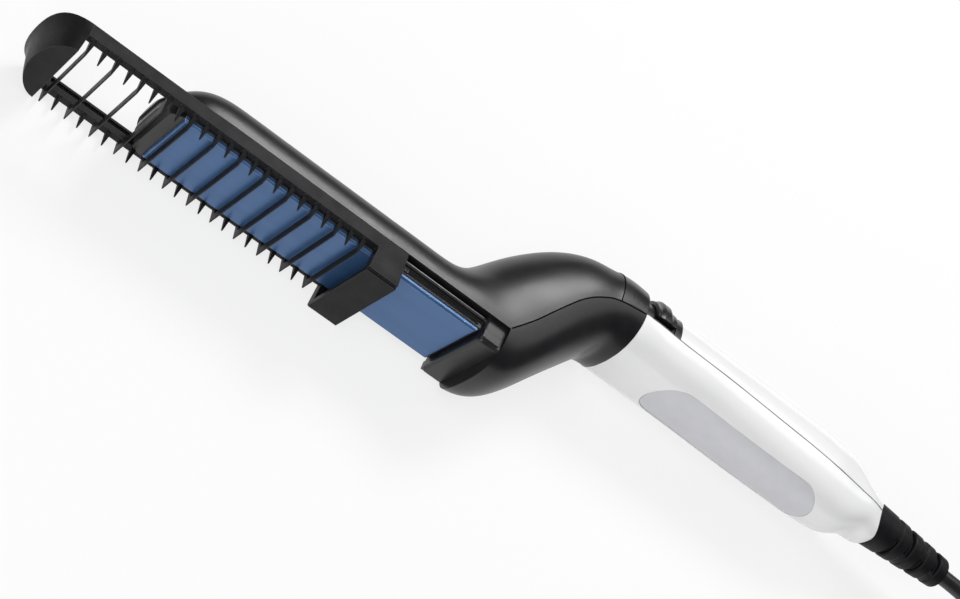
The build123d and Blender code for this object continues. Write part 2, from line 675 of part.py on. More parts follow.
# ---- strain relief, cord and plug ----
def strain_relief():
    """The ribbed rubber boot: a flared collar, four rings and the webs between them."""
    length = relief_end_x - handle_end_x
    collar_end = handle_end_x + relief_collar_length
    rib_pitch = (relief_end_x - collar_end) / relief_rib_count

    def cone(x0, x1, shrink=0.0):
        radii = [relief_start_radius + (relief_end_radius - relief_start_radius) * (x - handle_end_x) / length
                 - shrink for x in (x0, x1)]
        return Solid.make_cone(*radii, x1 - x0, Plane(origin=(x0, cord_y, 0), z_dir=(1, 0, 0)))

    collar = cone(handle_end_x - mouth_bow / 3, collar_end) - before_end
    body = relief_root() + collar + cone(handle_end_x, relief_end_x - 1, relief_groove_depth)
    for rib in range(relief_rib_count):
        start = collar_end + rib * rib_pitch
        ring = cone(start + relief_groove, start + rib_pitch)
        body += fillet(ring.edges().filter_by(GeomType.CIRCLE), 0.7)
        half = relief_web_width / 2
        flat = 20 if rib % 2 else half
        web = block(start - 0.2, start + relief_groove + 1, cord_y - flat, cord_y + flat, flat - 20 - half,
                    20 + half - flat)
        body += web & cone(start - 0.2, start + relief_groove + 1, 0.3)
    return body - rod((handle_end_x - 20, cord_y, 0), (relief_end_x + 1, cord_y, 0), cord_radius)


def cord_tube(points, radius):
    """Straight runs joined by arcs as large as the runs allow."""
    corners = [Vector(*p) for p in points]
    runs = [b - a for a, b in zip(corners, corners[1:])]
    turns = [math.radians(a.get_angle(b)) for a, b in zip(runs, runs[1:])]
    radii = [0.45 * min(a.length, b.length) / math.tan(turn / 2) for a, b, turn in zip(runs, runs[1:], turns)]
    path = FilletPolyline(*points, radius=radii)
    tube = sweep(Plane(origin=points[0], z_dir=runs[0]) * Circle(radius), path=path)
    print("arcs", [round(r, 1) for r in radii], "runs", [round(r.length, 1) for r in runs], "length",
          round(path.length, 1), "volume ratio", round(tube.volume / (math.pi * radius ** 2 * path.length), 4))
    return tube


def coil_outline():
    """The outer shape of the wound cord, resting on its tie."""
    across = coil_columns * cord_radius
    ring = Solid.make_cylinder(coil_mean_radius + across, 2 * cord_radius * coil_layers)
    ring -= Solid.make_cylinder(coil_mean_radius - across, 2 * cord_radius * coil_layers)
    return Pos(*coil_centre, tie_thickness) * ring


def coil_tie():
    """A strap round the coil's turns."""
    across = coil_columns * cord_radius + tie_thickness
    height = 2 * cord_radius * coil_layers + 2 * tie_thickness
    band = Pos(coil_mean_radius, 0, height / 2) * Box(2 * across, tie_width, height)
    return Pos(*coil_centre, 0) * Rot(0, 0, tie_angle) * band - coil_outline()


def plug_body():
    """A flat two-pin plug: an oval grip that narrows to the cord."""
    x, y, z = plug_route[-1]
    sections = [(0, 11.0, 10.0), (0.3, 16.0, 11.0), (0.5, 24.0, 12.2),
                (0.78, plug_width - 1, plug_height - 0.5), (1, plug_width, plug_height)]
    faces = [Plane(origin=(x - share * plug_length, y, z), x_dir=(0, 1, 0), z_dir=(-1, 0, 0))
             * RectangleRounded(width, height, height * 0.42) for share, width, height in sections]
    return loft(faces)


def plug_pin(side):
    x, y, z = plug_route[-1]
    face = x - plug_length
    pin_y = y + side * pin_spacing / 2
    pin = rod((face, pin_y, z), (face - pin_length, pin_y, z), pin_radius)
    return fillet(pin.faces().sort_by(Axis.X)[0].edges(), 1.2)


# ---- keep every node ----
keep("comb_attachment", comb_attachment())
keep("head_tray", head_tray())
keep("heating_plate", heating_plate())
keep("ptc_heater", block(plate_middle_x - heater_length / 2, plate_middle_x + heater_length / 2, tray_low_y,
                         heater_top_y, slide_gap - plate_leg_half_gap, plate_leg_half_gap - slide_gap))
keep("heater_clip", heater_clip())
keep("mica_sheet", block(mica_start_x, mica_start_x + mica_length, leg_top_y, leg_top_y + mica_thickness,
                         -mica_width / 2, mica_width / 2))
fuse_y = tray_low_y + tray_floor + fuse_radius
fuse_z = (leg_outer + slide_gap + tray_inner) / 2
keep("thermal_fuse", rod((fuse_x, fuse_y, fuse_z), (fuse_x + fuse_length, fuse_y, fuse_z), fuse_radius))
for number, x in enumerate(tray_screws, 1):
    keep(f"tray_screw_{number}", screw((x, tray_low_y + 0.1, 0), (x, parting_y + 5, 0), screw_radius,
                                       screw_head_radius))
keep("upper_shell", upper_shell())

keep("neck_lower_shell", neck_lower_shell())
keep("switch_bezel", switch_bezel())
keep("switch_knob", switch_knob())
keep("slide_switch", slide_switch())
keep("switch_lever", block(knob_middle_x - lever_width / 2, knob_middle_x + lever_width / 2,
                           board_top_y + switch_height - 2.3, lever_top_y, -lever_width / 2, lever_width / 2))

board = block(board_start_x, board_end_x, board_low_y, board_top_y, -board_half_width, board_half_width)
keep("circuit_board", board - rod((front_screw_x, 30, 0), (front_screw_x, 50, 0), screw_radius + 0.2))
capacitor_x = front_screw_x + 7
keep("film_capacitor", block(capacitor_x, capacitor_x + 13, board_top_y, board_top_y + 8, -8.5, -3))
for number, x in enumerate((front_screw_x + 6, front_screw_x + 16), 1):
    keep(f"resistor_{number}", rod((x, board_top_y + 1.2, 4), (x + 7, board_top_y + 1.2, 4), 1.2))
keep("terminal_block", block(board_end_x - 9, board_end_x - 2, board_top_y, board_top_y + 6, -7, 7))

keep("handle_lower_shell", handle_lower_shell())
keep("handle_upper_shell", handle_upper_shell())
for number, x in enumerate(handle_screws, 1):
    keep(f"handle_screw_{number}", screw((x, handle_screw_y, 0), (x, handle_screw_y + handle_screw_length, 0),
                                         screw_radius, screw_head_radius))
keep("rating_label", rating_label())
keep("cord_clamp", cord_clamp())
clamp_top_y = cord_y + cord_radius + clamp_height / 2
for number, z in enumerate(clamp_holes, 1):
    keep(f"clamp_screw_{number}", screw((clamp_x, clamp_top_y + screw_head_height, z), (clamp_x, cord_y - 5, z),
                                        clamp_screw_radius, 1.9))
lead_y = heater_top_y + conductor_radius + 0.05
lead_end = (tail_start_x, tail_start_x - 3, tail_start_x - 7, tail_start_x - 12, tail_start_x - 17.5,
            board_end_x + 3.5, board_end_x - 2)
for name, side in (("live", 1), ("neutral", -1)):
    z = side * 5.2
    heater_route = [(plate_middle_x + heater_length / 2 - 3.6, lead_y, z), (neck_x(-0.371), lead_y, z),
                    (neck_x(-0.206), 11.5, z), (neck_x(-0.015), 18, z), (neck_x(0.213), 27.5, z),
                    (neck_x(0.442), 36, z), (neck_x(0.683), 41.8, z), (neck_x(0.949), 43.6, z),
                    (board_start_x + 4, board_top_y + 1.4, z)]
    keep(f"heater_lead_{name}", cord_tube(heater_route, conductor_radius))
    heights = (cord_y, cord_y, 41.9, 42.4, 42.7, 42.8, 42.8)
    spreads = (1.6, 1.6, 4.6, 6.2, 6.4, 5.4, 5.4)
    mains_route = [(x, y, side * spread) for x, y, spread in zip(lead_end, heights, spreads)]
    keep(f"mains_lead_{name}", cord_tube(mains_route, conductor_radius))
keep("cord_tail", rod((tail_start_x, cord_y, 0), (relief_end_x, cord_y, 0), cord_radius))
keep("strain_relief", strain_relief())

parts["power_cord"] = cord_tube(exit_route, cord_radius) - coil_outline()
parts["cord_coil"] = coil_outline()
parts["cord_tie"] = coil_tie()
parts["plug_lead"] = cord_tube(plug_route, cord_radius) - coil_outline()
parts["plug_body"] = plug_body()
for number, side in enumerate((1, -1), 1):
    parts[f"plug_pin_{number}"] = plug_pin(side)

os.makedirs("parts", exist_ok=True)
for name, shape in parts.items():
    export_step(shape, f"parts/{name}.step")
home = stop_start_x - block_end_x - block_lean
print(len(parts), "nodes, origin", tuple(round(v, 3) for v in origin), "comb to stop", round(home, 2))
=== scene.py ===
# %% [markdown]
# # A heated comb, dressed for the camera
# The comb's solids come from a CAD model. This lesson keeps those solids where they are, gives each
# one the finish of its real material, and adds the pieces that a solid model leaves plain: the cord
# with its coil, the seams between the mouldings and the small fittings. All sizes are in metres, and
# the comb lies on its side on the floor, at height 0.

# %% Load the frame
import math

import bmesh
import bpy
from mathutils import Matrix, Vector
from mathutils.bvhtree import BVHTree


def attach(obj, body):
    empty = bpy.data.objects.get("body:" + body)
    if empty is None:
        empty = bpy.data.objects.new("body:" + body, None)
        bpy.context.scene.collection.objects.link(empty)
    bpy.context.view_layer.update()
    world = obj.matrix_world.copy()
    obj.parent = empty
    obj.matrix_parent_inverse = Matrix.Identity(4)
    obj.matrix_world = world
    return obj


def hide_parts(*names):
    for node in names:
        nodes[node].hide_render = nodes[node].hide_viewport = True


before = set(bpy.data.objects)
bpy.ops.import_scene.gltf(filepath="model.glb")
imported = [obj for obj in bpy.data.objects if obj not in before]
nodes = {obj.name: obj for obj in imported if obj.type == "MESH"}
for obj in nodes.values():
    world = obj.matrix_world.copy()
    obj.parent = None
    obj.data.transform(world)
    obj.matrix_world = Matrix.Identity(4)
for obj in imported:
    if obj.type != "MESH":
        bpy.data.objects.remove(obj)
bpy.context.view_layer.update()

# %% [markdown]
# ## The camera
# A camera can be aimed with a Track To constraint or with three plain directions. The directions are
# used here, because a small lean of the camera then stays exactly as it is written. The lens is a
# short telephoto, so that the comb hardly narrows with distance.

# %% Camera
view_right = Vector((0.760086, 0.324279, 0.563127))
view_up = Vector((-0.557843, 0.770078, 0.309502))
camera_place = Vector((-0.211133, -0.318590, 0.455341))

camera_data = bpy.data.cameras.new("camera")
camera_data.lens = 75.0
camera_data.sensor_width = 36.0
camera_data.clip_start = 0.01
camera_data.clip_end = 20.0
camera = bpy.data.objects.new("camera", camera_data)
turn = Matrix((view_right, view_up, view_right.cross(view_up))).transposed().to_4x4()
camera.matrix_world = Matrix.Translation(camera_place) @ turn
bpy.context.scene.collection.objects.link(camera)
bpy.context.scene.camera = camera
print("camera at", [round(v, 3) for v in camera_place])

# %% [markdown]
# ## The mains cord
# The cord is one length of flexible lead: out of the rubber boot, down to the table, round a neat coil
# and on to the plug. A smooth NURBS line follows a handful of given points, which is how a
# stiff lead falls, and a round bevel gives it its thickness. The coil's turns are more points of the
# same line: four turns wide and two high, wound in along the table and out again on top, where the
# plug lies.

# %% Cord route
cord_radius = 0.00275
cord_fall = [(0.1654, 0.0158, 0.0166), (0.1834, 0.0158, 0.0166), (0.2004, 0.0108, 0.0134),
             (0.2145, -0.0013, 0.0082), (0.2303, -0.0132, 0.0042)]
plug_run = [(0.3002, 0.0034, 0.00905), (0.3009, 0.0172, 0.0096), (0.2979, 0.0307, 0.0126),
            (0.2892, 0.0414, 0.0164), (0.2765, 0.0473, 0.01865), (0.2625, 0.0473, 0.01865)]
coil_middle = Vector((0.2600, 0.0155))
coil_outer = 0.04125
coil_floor = 0.00355
coil_lift = 2 * cord_radius
coil_start = math.radians(250)
points_per_turn = 16
coil_turns = 7 + 70 / 360
inward_starts, inward_span = (300, 660, 1020), 60
climb_start, climb_end = 1280, 1380
outward_starts, outward_span = (1605, 1965, 2325), 50


def ease(value, start, end):
    """A smooth step from 0 at start to 1 at end."""
    share = min(1.0, max(0.0, (value - start) / (end - start)))
    return share * share * (3 - 2 * share)


def coil_point(turned):
    """The coil's line after so many degrees: in along the floor, up, and out on the first layer."""
    radius = coil_outer
    for start in inward_starts:
        radius -= coil_lift * ease(turned, start, start + inward_span)
    for start in outward_starts:
        radius += coil_lift * ease(turned, start, start + outward_span)
    height = coil_floor + coil_lift * ease(turned, climb_start, climb_end)
    angle = coil_start + math.radians(turned)
    # The line runs at this share of its control points' radius, so they lie that much further out.
    pull = 0.75 + 0.25 * math.cos(math.tau / points_per_turn)
    return (coil_middle.x + radius / pull * math.cos(angle), coil_middle.y + radius / pull * math.sin(angle),
            height)


coil_count = round(coil_turns * points_per_turn)
cord_points = list(cord_fall)
for step in range(coil_count + 1):
    cord_points.append(coil_point(step * 360 * coil_turns / coil_count))
cord_points += plug_run
print("cord points", len(cord_points))


# %% Cord as a smooth line
def smooth_line(name, points, radius):
    """A round lead along a NURBS line through the middle of its control points."""
    data = bpy.data.curves.new(name, "CURVE")
    data.dimensions = "3D"
    spline = data.splines.new("NURBS")
    spline.points.add(len(points) - 1)
    for point, place in zip(spline.points, points):
        point.co = (*place, 1.0)
        point.radius = radius
    spline.order_u = 3
    spline.use_endpoint_u = True
    spline.resolution_u = 8
    data.bevel_depth = 1.0
    data.bevel_resolution = 5
    data.use_fill_caps = True
    line = bpy.data.objects.new(name, data)
    bpy.context.scene.collection.objects.link(line)
    return line


mains_cord = smooth_line("mains_cord", cord_points, cord_radius)
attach(mains_cord, "housing")
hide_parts("power_cord", "cord_coil", "plug_lead")
print("cord made,", round(coil_turns, 2), "turns")


# %% [markdown]
# ## Finishes
# Every finish starts from the Principled shader with its plain numbers, and gets its life from
# patterns on object coordinates, so the size of a grain is a real size in metres. Moulded plastic
# carries a fine spark-eroded grain. Edges take a lighter colour, partly rubbed wear and partly a painted
# highlight; on the comb's teeth and the plate's bevel it is a painted highlight. A sharp edge in a
# solid also needs a little rounding, which the Bevel node gives to the shading.

# %% A finish and its patterns
bevel_samples = 6
# A Mix node has several sockets of the same name, so those for colours are found by their place.
mix_share, mix_first, mix_second, mix_result = 0, 6, 7, 2


def new_finish(name, colour, roughness, metallic=0.0, coat=0.0, coat_roughness=0.1, specular=0.5):
    """A Principled finish with its plain values."""
    material = bpy.data.materials.new(name)
    material.use_nodes = True
    shader = material.node_tree.nodes["Principled BSDF"]
    shader.inputs["Base Color"].default_value = (*colour, 1.0)
    shader.inputs["Roughness"].default_value = roughness
    shader.inputs["Metallic"].default_value = metallic
    shader.inputs["Coat Weight"].default_value = coat
    shader.inputs["Coat Roughness"].default_value = coat_roughness
    shader.inputs["Specular IOR Level"].default_value = specular
    material.diffuse_color = (*colour, 1.0)
    return material


def add_node(material, kind, **values):
    """A node with some of its settings and inputs set; an input's name may use _ for a space."""
    node = material.node_tree.nodes.new(kind)
    for key, value in values.items():
        if hasattr(node, key):
            setattr(node, key, value)
        else:
            node.inputs[key.replace("_", " ")].default_value = value
    return node


def join(material, output, target):
    material.node_tree.links.new(output, target)


def noise_on(material, feature, detail, stretch=(1.0, 1.0, 1.0)):
    """Noise on object coordinates with features of a real size, in metres."""
    place = add_node(material, "ShaderNodeTexCoord")
    scale = add_node(material, "ShaderNodeMapping", Scale=stretch)
    noise = add_node(material, "ShaderNodeTexNoise", Scale=1.0 / feature, Detail=detail)
    join(material, place.outputs["Object"], scale.inputs["Vector"])
    join(material, scale.outputs["Vector"], noise.inputs["Vector"])
    return noise.outputs["Fac"]


def grain(material, feature, depth, strength, stretch=(1.0, 1.0, 1.0), edge=0.0):
    """A bump of a real depth; with an edge radius, sharp edges shade as if they were rounded."""
    bump = add_node(material, "ShaderNodeBump", Strength=strength, Distance=depth)
    join(material, noise_on(material, feature, 2.0, stretch), bump.inputs["Height"])
    if edge:
        soft = add_node(material, "ShaderNodeBevel", samples=bevel_samples, Radius=edge)
        join(material, soft.outputs["Normal"], bump.inputs["Normal"])
    join(material, bump.outputs["Normal"], material.node_tree.nodes["Principled BSDF"].inputs["Normal"])
    return material


def vary_roughness(material, feature, low, high):
    """Roughness that drifts between two values over patches of a real size."""
    spread = add_node(material, "ShaderNodeMapRange", From_Min=0.3, From_Max=0.7, To_Min=low, To_Max=high)
    join(material, noise_on(material, feature, 3.0), spread.inputs["Value"])
    join(material, spread.outputs["Result"], material.node_tree.nodes["Principled BSDF"].inputs["Roughness"])


def vary_colour(material, feature, first, second, stretch=(1.0, 1.0, 1.0), edge=0.0, edge_wear_and_highlight=None):
    """Colour that drifts between two tones, with a third on edges: rubbed wear and a painted highlight."""
    shader = material.node_tree.nodes["Principled BSDF"]
    mix = add_node(material, "ShaderNodeMix", data_type="RGBA")
    mix.inputs[mix_first].default_value = (*first, 1.0)
    mix.inputs[mix_second].default_value = (*second, 1.0)
    spread = add_node(material, "ShaderNodeMapRange", From_Min=0.35, From_Max=0.65)
    join(material, noise_on(material, feature, 3.0, stretch), spread.inputs["Value"])
    join(material, spread.outputs["Result"], mix.inputs[mix_share])
    colour = mix.outputs[mix_result]
    # A lighter colour on convex edges, partly rubbed wear and partly a painted highlight.
    if edge:
        soft = add_node(material, "ShaderNodeBevel", samples=bevel_samples, Radius=edge)
        flat = add_node(material, "ShaderNodeNewGeometry")
        match = add_node(material, "ShaderNodeVectorMath", operation="DOT_PRODUCT")
        wear_and_highlight_share = add_node(material, "ShaderNodeMapRange", From_Min=0.98, From_Max=0.72, To_Min=0.0, To_Max=0.8)
        over = add_node(material, "ShaderNodeMix", data_type="RGBA")
        over.inputs[mix_second].default_value = (*edge_wear_and_highlight, 1.0)
        join(material, soft.outputs["Normal"], match.inputs[0])
        join(material, flat.outputs["Normal"], match.inputs[1])
        join(material, match.outputs["Value"], wear_and_highlight_share.inputs["Value"])
        join(material, wear_and_highlight_share.outputs["Result"], over.inputs[mix_share])
        join(material, colour, over.inputs[mix_first])
        colour = over.outputs[mix_result]
    join(material, colour, shader.inputs["Base Color"])


# %% Plastics and rubber
comb_black = new_finish("comb_black", (0.010, 0.010, 0.011), 0.42, specular=0.12)
# The lighter colour on the comb's edges is a painted highlight: the bright line along each tooth.
vary_colour(comb_black, 0.004, (0.008, 0.008, 0.009), (0.012, 0.012, 0.013), edge=0.00022,
            edge_wear_and_highlight=(0.16, 0.16, 0.165))
vary_roughness(comb_black, 0.006, 0.38, 0.50)
grain(comb_black, 0.00028, 0.00006, 0.5, edge=0.00025)

head_black = new_finish("head_black", (0.009, 0.009, 0.010), 0.36)
vary_colour(head_black, 0.006, (0.007, 0.007, 0.008), (0.011, 0.011, 0.012), edge=0.0003,
            edge_wear_and_highlight=(0.06, 0.06, 0.063))
vary_roughness(head_black, 0.012, 0.33, 0.41)
grain(head_black, 0.0003, 0.00004, 0.4, edge=0.0003)

neck_black = new_finish("neck_black", (0.008, 0.008, 0.009), 0.33, specular=0.35)
vary_colour(neck_black, 0.006, (0.006, 0.006, 0.007), (0.010, 0.010, 0.011))
vary_roughness(neck_black, 0.012, 0.30, 0.35)
grain(neck_black, 0.0003, 0.00004, 0.5)

gloss_black = new_finish("gloss_black", (0.007, 0.007, 0.008), 0.28)
vary_colour(gloss_black, 0.008, (0.006, 0.006, 0.007), (0.009, 0.009, 0.010), edge=0.0003,
            edge_wear_and_highlight=(0.05, 0.05, 0.052))
vary_roughness(gloss_black, 0.015, 0.25, 0.32)
grain(gloss_black, 0.0004, 0.00002, 0.3, edge=0.0003)

shell_white = new_finish("shell_white", (0.89, 0.89, 0.89), 0.22, coat=0.4, coat_roughness=0.08)
vary_colour(shell_white, 0.02, (0.88, 0.88, 0.88), (0.91, 0.90, 0.90))
vary_roughness(shell_white, 0.02, 0.19, 0.26)
grain(shell_white, 0.003, 0.00001, 0.25, edge=0.0003)

boot_rubber = new_finish("boot_rubber", (0.005, 0.005, 0.006), 0.5, specular=0.18)
vary_colour(boot_rubber, 0.003, (0.004, 0.004, 0.005), (0.007, 0.007, 0.008), edge=0.0003,
            edge_wear_and_highlight=(0.055, 0.055, 0.057))
vary_roughness(boot_rubber, 0.004, 0.45, 0.58)
grain(boot_rubber, 0.0003, 0.00005, 0.5, edge=0.0004)

cord_black = new_finish("cord_black", (0.010, 0.010, 0.011), 0.38)
vary_colour(cord_black, 0.01, (0.008, 0.008, 0.009), (0.013, 0.013, 0.014))
vary_roughness(cord_black, 0.008, 0.33, 0.45)
grain(cord_black, 0.0005, 0.00003, 0.4)
print("plastics and rubber made")

# %% [markdown]
# The hot plate is an aluminium extrusion with a blue ceramic coating. A coating over metal is a
# metallic base with a thin clear coat, and the extrusion leaves very faint lines along its length, so
# the grain is stretched along x.

# %% Plate coating and metals
plate_blue = new_finish("plate_blue", (0.052, 0.134, 0.306), 0.34, metallic=0.5, coat=0.2, coat_roughness=0.2)
# The near-white colour on the plate's edges is a painted highlight along its bevel.
vary_colour(plate_blue, 0.004, (0.048, 0.127, 0.295), (0.056, 0.141, 0.318), (0.08, 1.0, 1.0), edge=0.0004,
            edge_wear_and_highlight=(0.93, 0.96, 1.0))
vary_roughness(plate_blue, 0.01, 0.30, 0.38)
grain(plate_blue, 0.0004, 0.00002, 0.35, (0.05, 1.0, 1.0), edge=0.0003)


def metal(name, colour, low, high, stretch=(1.0, 1.0, 1.0)):
    """A bare metal with fine marks and patches of different polish."""
    material = new_finish(name, colour, low, metallic=1.0)
    vary_roughness(material, 0.004, low, high)
    return grain(material, 0.0003, 0.00001, 0.4, stretch, edge=0.0002)


mill_aluminium = metal("mill_aluminium", (0.75, 0.75, 0.76), 0.3, 0.45, (0.1, 1.0, 1.0))
spring_steel = metal("spring_steel", (0.6, 0.6, 0.62), 0.25, 0.4, (0.1, 1.0, 1.0))
zinc_steel = metal("zinc_steel", (0.65, 0.65, 0.66), 0.25, 0.38)
nickel = metal("nickel", (0.78, 0.77, 0.74), 0.14, 0.24)
print("plate and metals made")


# %% [markdown]
# Inside the handle and the head there are a mica sheet, a circuit board, its parts and the sleeved
# leads. They are hardly seen, but each still has its own matte or lacquered finish with a little
# variation. The label is a satin film, left bare.

# %% Inner parts, label and tie
def plain(name, first, second, feature, low, high, depth=0.00002):
    """A non-metal finish with two tones, drifting roughness and a light grain."""
    material = new_finish(name, first, low)
    vary_colour(material, feature, first, second)
    vary_roughness(material, feature * 2, low, high)
    return grain(material, feature / 6, depth, 0.4, edge=0.0002)


mica = plain("mica", (0.78, 0.74, 0.64), (0.70, 0.66, 0.56), 0.003, 0.4, 0.6)
board_green = plain("board_green", (0.03, 0.17, 0.07), (0.04, 0.21, 0.09), 0.004, 0.25, 0.35)
lacquer = plain("lacquer", (0.45, 0.27, 0.06), (0.52, 0.33, 0.08), 0.003, 0.2, 0.35)
sleeve_brown = plain("sleeve_brown", (0.16, 0.07, 0.03), (0.21, 0.10, 0.05), 0.003, 0.4, 0.55)
sleeve_blue = plain("sleeve_blue", (0.04, 0.10, 0.36), (0.06, 0.13, 0.42), 0.003, 0.4, 0.55)
label_film = plain("label_film", (0.64, 0.64, 0.67), (0.67, 0.67, 0.70), 0.006, 0.32, 0.40, 0.00001)

strap = new_finish("strap", (0.02, 0.02, 0.02), 0.8)
strap_place = add_node(strap, "ShaderNodeTexCoord")
strap_weave = add_node(strap, "ShaderNodeTexChecker", Scale=1600.0)
strap_weave.inputs["Color1"].default_value = (0.014, 0.014, 0.014, 1.0)
strap_weave.inputs["Color2"].default_value = (0.032, 0.032, 0.032, 1.0)
strap_bump = add_node(strap, "ShaderNodeBump", Strength=0.6, Distance=0.0002)
join(strap, strap_place.outputs["Object"], strap_weave.inputs["Vector"])
join(strap, strap_weave.outputs["Fac"], strap_bump.inputs["Height"])
join(strap, strap_weave.outputs["Color"], strap.node_tree.nodes["Principled BSDF"].inputs["Base Color"])
join(strap, strap_bump.outputs["Normal"], strap.node_tree.nodes["Principled BSDF"].inputs["Normal"])
print("inner finishes made")

# %% [markdown]
# ## Dress the solids
# A solid whose shape is right keeps its mesh and takes the finish of its material slot. The record
# names a slot for every node, so one table from slot to finish dresses them all.

# %% Finishes onto the nodes
finish_of_slot = {
    "comb_plastic": comb_black, "head_plastic": head_black, "gloss_black": gloss_black,
    "plate_coating": plate_blue, "bare_metal": mill_aluminium, "spring_steel": spring_steel,
    "screw_steel": zinc_steel, "insulation": mica, "board": board_green, "component": lacquer,
    "handle_white": shell_white, "label": label_film, "lead_brown": sleeve_brown, "lead_blue": sleeve_blue,
    "relief_rubber": boot_rubber, "cord_rubber": cord_black, "tie": strap, "pin_brass": nickel,
}


def dress(piece, material):
    """Give a piece one finish in all its slots."""
    if not piece.material_slots:
        piece.data.materials.append(material)
    for holder in piece.material_slots:
        holder.material = material


for node_name, node in nodes.items():
    slot_name = node.material_slots[0].material.name.split(".")[0]
    dress(node, neck_black if node_name in ("upper_shell", "neck_lower_shell") else finish_of_slot[slot_name])
dress(mains_cord, cord_black)
print("dressed", len(nodes), "nodes")

# %% [markdown]
# ## The comb's teeth
# A moulded tooth is a blade: broad where it leaves the rail and nearly sharp at its tip. The solid's
# teeth have the right outline but one thickness, so a welded copy of the comb takes their place, in
# which the corners of each tooth move towards or away from its middle plane. Short cuts across each
# tooth first give the blade enough corners to taper smoothly.

# %% A comb with bladed teeth
millimetre = 0.001
drawing_origin = Vector((153.0, 25.8, -16.6))
tooth_pitch = 4.0
tooth_count = 23
tooth_reach = 0.7
rail_low = 4.4
tooth_tip = -0.55
cut_levels = (0.6, 1.95, 3.2)
smooth_angle = math.radians(30)
weld_distance = 2e-6
tooth_clear = 5 * weld_distance
root_spread = 1.25
tip_spread = 0.3


def to_model(x, y, z):
    """From the drawing's millimetres, with x from the comb's first tooth, to the model's metres."""
    return (Vector((x, y, z)) - drawing_origin) * millimetre


def blade_teeth(shape):
    """Spread each tooth at its root and thin it towards its tip."""
    first = to_model(0.0, rail_low, 0.0)
    low, high = to_model(0.0, tooth_tip, 0.0).y, first.y
    pitch = tooth_pitch * millimetre
    for level in cut_levels:
        height = to_model(0.0, level, 0.0).y
        near = [face for face in shape.faces
                if all(vert.co.y < high + weld_distance for vert in face.verts)
                and any(vert.co.y < high - tooth_clear for vert in face.verts)]
        parts = near + list({edge for face in near for edge in face.edges})
        parts += list({vert for face in near for vert in face.verts})
        bmesh.ops.bisect_plane(shape, geom=parts, plane_co=(0, height, 0), plane_no=(0, 1, 0))
    moved = 0
    for vert in shape.verts:
        number = round((vert.co.x - first.x) / pitch)
        middle = first.x + number * pitch
        beside = abs(vert.co.x - middle) > tooth_reach * millimetre
        if beside or not 0 <= number < tooth_count or vert.co.y > high + weld_distance:
            continue
        share = (vert.co.y - low) / (high - low)
        vert.co.x = middle + (vert.co.x - middle) * (tip_spread + (root_spread - tip_spread) * share)
        moved += 1
    return moved


comb_shape = bmesh.new()
comb_shape.from_mesh(nodes["comb_attachment"].data)
bmesh.ops.remove_doubles(comb_shape, verts=comb_shape.verts, dist=weld_distance)
moved_corners = blade_teeth(comb_shape)
for face in comb_shape.faces:
    face.smooth = True
for edge in comb_shape.edges:
    edge.smooth = len(edge.link_faces) == 2 and edge.calc_face_angle() < smooth_angle
comb_mesh = bpy.data.meshes.new("bladed_comb")
comb_shape.to_mesh(comb_mesh)
open_edges = sum(len(edge.link_faces) != 2 for edge in comb_shape.edges)
print("open edges", open_edges, "corners moved", moved_corners)
comb_shape.free()
bladed_comb = bpy.data.objects.new("bladed_comb", comb_mesh)
bpy.context.scene.collection.objects.link(bladed_comb)
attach(bladed_comb, "comb")
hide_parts("comb_attachment")
dress(bladed_comb, comb_black)

# %% [markdown]
# ## The seams
# Where two mouldings meet, the eye finds a fine dark line. Each line here is a thin closed strip laid
# on the surface: rays that run towards the middle of the part find the surface, and the strip's end
# face is extruded from one strike to the next. It stands proud by a few hundredths of a millimetre.

# %% Seam lines
seam_dark = plain("seam_dark", (0.002, 0.002, 0.002), (0.003, 0.003, 0.003), 0.002, 0.85, 0.95)
seam_dark.node_tree.nodes["Principled BSDF"].inputs["Specular IOR Level"].default_value = 0.05
seam_grey = plain("seam_grey", (0.16, 0.16, 0.165), (0.20, 0.20, 0.205), 0.002, 0.7, 0.8)

strip_proud = 0.00005
strip_sunk = 0.00025
neck_line, bezel_line, handle_line = 0.00042, 0.00036, 0.0003
side_far, bezel_far = 30.0, 0.04
handle_seam_y = 41.8
nudges = [Vector(), *(Vector(step) * 0.00015 for step in ((1, 0, 0), (-1, 0, 0), (0, 1, 0), (0, -1, 0)))]


def lofted(name, rings, finish, smooth=False):
    """A closed piece of the housing, its end face extruded from one ring of places to the next."""
    shape = bmesh.new()
    corners = [shape.verts.new(place) for place in rings[0]]
    end = shape.faces.new(corners)
    end.smooth = smooth
    for ring in rings[1:]:
        end = bmesh.ops.extrude_discrete_faces(shape, faces=[end])["faces"][0]
        for corner, place in zip(end.verts, ring):
            corner.co = place
    end.smooth = False
    shape.faces.new(corners)
    shape.normal_update()
    bmesh.ops.recalc_face_normals(shape, faces=shape.faces)
    mesh = bpy.data.meshes.new(name)
    shape.to_mesh(mesh)
    shape.free()
    piece = bpy.data.objects.new(name, mesh)
    bpy.context.scene.collection.objects.link(piece)
    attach(piece, "housing")
    dress(piece, finish)


def surface_of(*names):
    """The merged surface of some nodes, to cast rays at."""
    corners, faces = [], []
    for name in names:
        mesh = nodes[name].data
        faces += [[len(corners) + k for k in polygon.vertices] for polygon in mesh.polygons]
        corners += [vert.co.copy() for vert in mesh.vertices]
    return BVHTree.FromPolygons(corners, faces)


